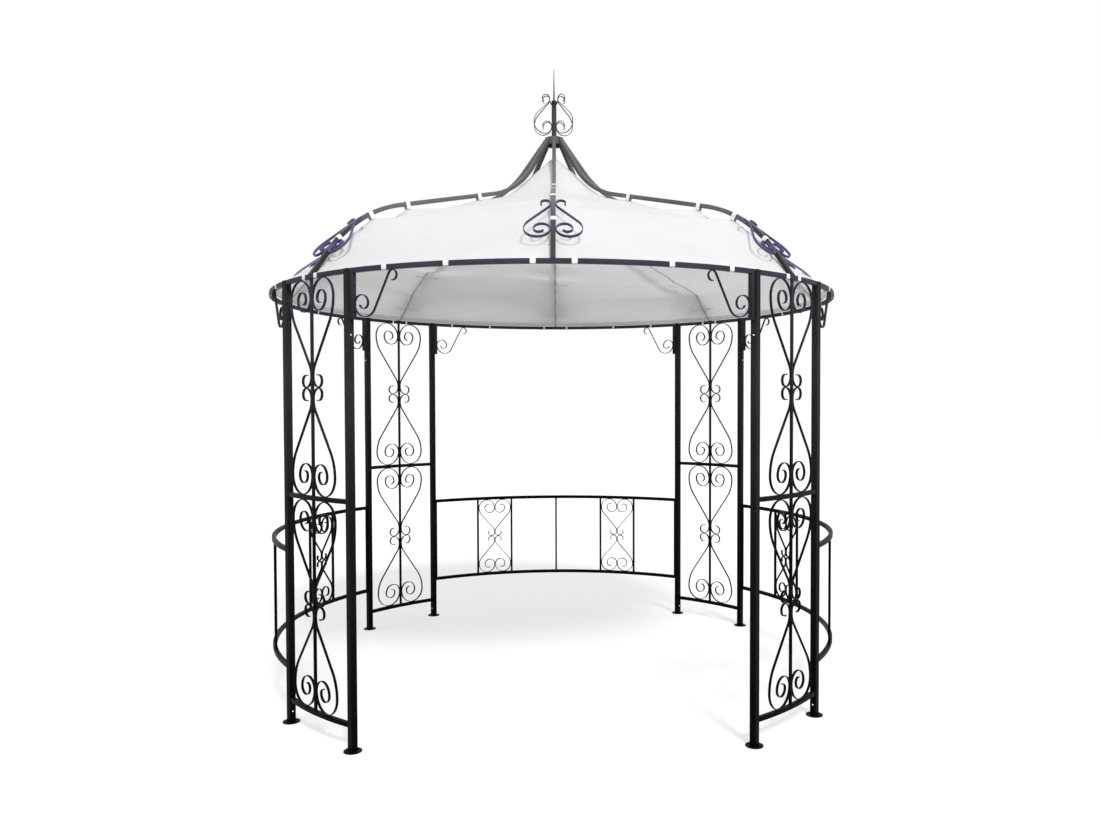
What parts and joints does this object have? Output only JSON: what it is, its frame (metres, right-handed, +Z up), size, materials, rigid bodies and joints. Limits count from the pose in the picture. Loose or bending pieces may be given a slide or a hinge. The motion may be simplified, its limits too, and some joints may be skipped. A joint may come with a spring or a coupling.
{
  "type": "garden gazebo",
  "caption": "Round wrought-steel garden gazebo with scrollwork columns, curved balustrades, an ogee roof frame with a finial and a tied-on cloth canopy.",
  "frame": {"origin": "centre of the plan circle on the ground", "axes": "+Z up, -Y out through the entrance, +X to the right of someone facing the entrance from outside"},
  "size_m": [2.985, 2.985, 3.296],
  "materials": {
    "post_steel": "satin powder coat",
    "foot_steel": "satin powder coat",
    "bar_steel": "satin powder coat",
    "scroll_steel": "satin powder coat",
    "roof_steel": "satin powder coat",
    "finial_steel": "satin powder coat",
    "canopy_cloth": "matte woven polyester",
    "tie_cloth": "matte woven tape"
  },
  "bodies": {
    "root": {"post_1": "post_steel", "post_2": "post_steel", "post_3": "post_steel", "post_4": "post_steel", "post_5": "post_steel", "post_6": "post_steel", "post_7": "post_steel", "post_8": "post_steel", "foot_plates": "foot_steel", "panel_frame_1": "bar_steel", "panel_frame_2": "bar_steel", "panel_frame_3": "bar_steel", "panel_frame_4": "bar_steel", "panel_scrolls_1": "scroll_steel", "panel_scrolls_2": "scroll_steel", "panel_scrolls_3": "scroll_steel", "panel_scrolls_4": "scroll_steel", "header_front": "bar_steel", "header_right": "bar_steel", "header_back": "bar_steel", "header_left": "bar_steel", "header_scrolls": "scroll_steel", "rails_right": "bar_steel", "rails_back": "bar_steel", "rails_left": "bar_steel", "balusters_right": "bar_steel", "balusters_back": "bar_steel", "balusters_left": "bar_steel", "rail_scrolls_right": "scroll_steel", "rail_scrolls_back": "scroll_steel", "rail_scrolls_left": "scroll_steel", "rib_1": "roof_steel", "rib_2": "roof_steel", "rib_3": "roof_steel", "rib_4": "roof_steel", "rib_5": "roof_steel", "rib_6": "roof_steel", "rib_7": "roof_steel", "rib_8": "roof_steel", "rib_hearts": "scroll_steel", "hub": "roof_steel", "finial_post": "finial_steel", "finial_scrolls": "finial_steel", "canopy": "canopy_cloth", "ring_ties": "tie_cloth", "rib_ties": "tie_cloth"}
  },
  "joints": []
}
